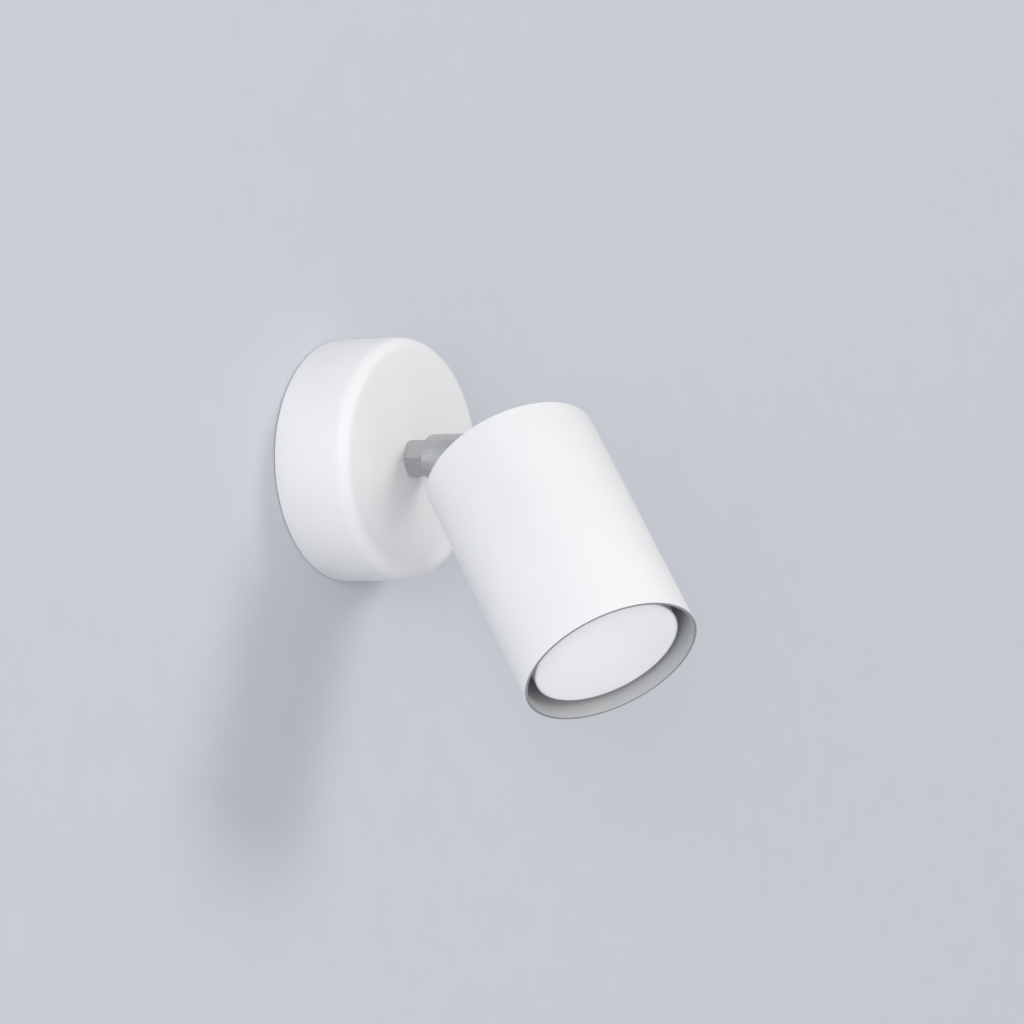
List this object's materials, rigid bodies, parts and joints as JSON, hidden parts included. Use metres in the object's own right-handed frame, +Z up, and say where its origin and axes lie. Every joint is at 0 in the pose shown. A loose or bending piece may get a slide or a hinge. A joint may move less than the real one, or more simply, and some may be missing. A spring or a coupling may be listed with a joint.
{
  "type": "pivoting spotlight wall light",
  "caption": "Wall spotlight: round canopy, hollow swivel arm with a tilting lap knuckle, and an open tube head holding a twist-lock reflector lamp.",
  "frame": {"origin": "centre of the canopy's open back, on the wall", "axes": "+Y runs into the wall, -Y out into the room, +Z up"},
  "size_m": [0.0887, 0.1414, 0.128],
  "materials": {
    "white_enamel": "satin white enamel",
    "pan_enamel": "satin white enamel",
    "zinc_strip": "zinc-plated strip",
    "screw_steel": "zinc-plated steel",
    "satin_nickel": "satin nickel plate",
    "block_plastic": "moulded, matt",
    "brass": "plain turned brass",
    "brown_silicone": "smooth",
    "blue_silicone": "smooth",
    "green_silicone": "smooth",
    "fibre": "plain",
    "rivet_aluminium": "plain",
    "holder_ceramic": "unglazed",
    "lamp_white": "semi-gloss",
    "lamp_frosted": "frosted",
    "pin_metal": "plain"
  },
  "bodies": {
    "root": {"canopy": "white_enamel", "wall_bracket": "zinc_strip", "canopy_grub_screws": "screw_steel", "terminal_block": "block_plastic", "terminal_sleeves": "brass", "terminal_screws": "screw_steel", "terminal_block_screw": "screw_steel", "bracket_earth_screw": "screw_steel", "hex_stud": "satin_nickel", "stud_lock_washer": "screw_steel", "stud_lock_nut": "screw_steel", "live_lead": "brown_silicone", "neutral_lead": "blue_silicone", "earth_lead": "green_silicone"},
    "arm": {"swivel_barrel": "satin_nickel", "swivel_stop_screw": "screw_steel", "swivel_washer": "fibre", "pivot_screw": "screw_steel", "pivot_nut": "screw_steel", "pivot_spring_washer": "screw_steel", "tilt_friction_ring": "fibre"},
    "head": {"head_tube": "white_enamel", "rear_pan": "pan_enamel", "head_knuckle": "satin_nickel", "knuckle_lock_washer": "screw_steel", "knuckle_lock_nut": "screw_steel", "holder_bracket": "zinc_strip", "bracket_rivets": "rivet_aluminium", "lamp_holder": "holder_ceramic", "holder_contacts": "brass", "holder_screws": "screw_steel", "head_earth_screw": "screw_steel", "head_live_lead": "brown_silicone", "head_neutral_lead": "blue_silicone", "head_earth_lead": "green_silicone"},
    "lamp": {"lamp_shell": "lamp_white", "lamp_base": "lamp_white", "lamp_cover": "lamp_frosted", "lamp_pins": "pin_metal"}
  },
  "joints": [
    {"name": "swivel", "type": "hinge", "parent": "root", "child": "arm", "pos_m": [0, 0, 0], "axis": [0, 1, 0], "range_deg": [-175.1, 144.9]},
    {"name": "tilt", "type": "hinge", "parent": "arm", "child": "head", "pos_m": [0, -0.0656, 0], "axis": [0.9655, 0, -0.2605], "range_deg": [-128.9, 21.1]},
    {"name": "lamp_twist", "type": "hinge", "parent": "head", "child": "lamp", "pos_m": [0, -0.0656, 0], "axis": [-0.2105, -0.5892, -0.7801], "range_deg": [0, 25]}
  ]
}
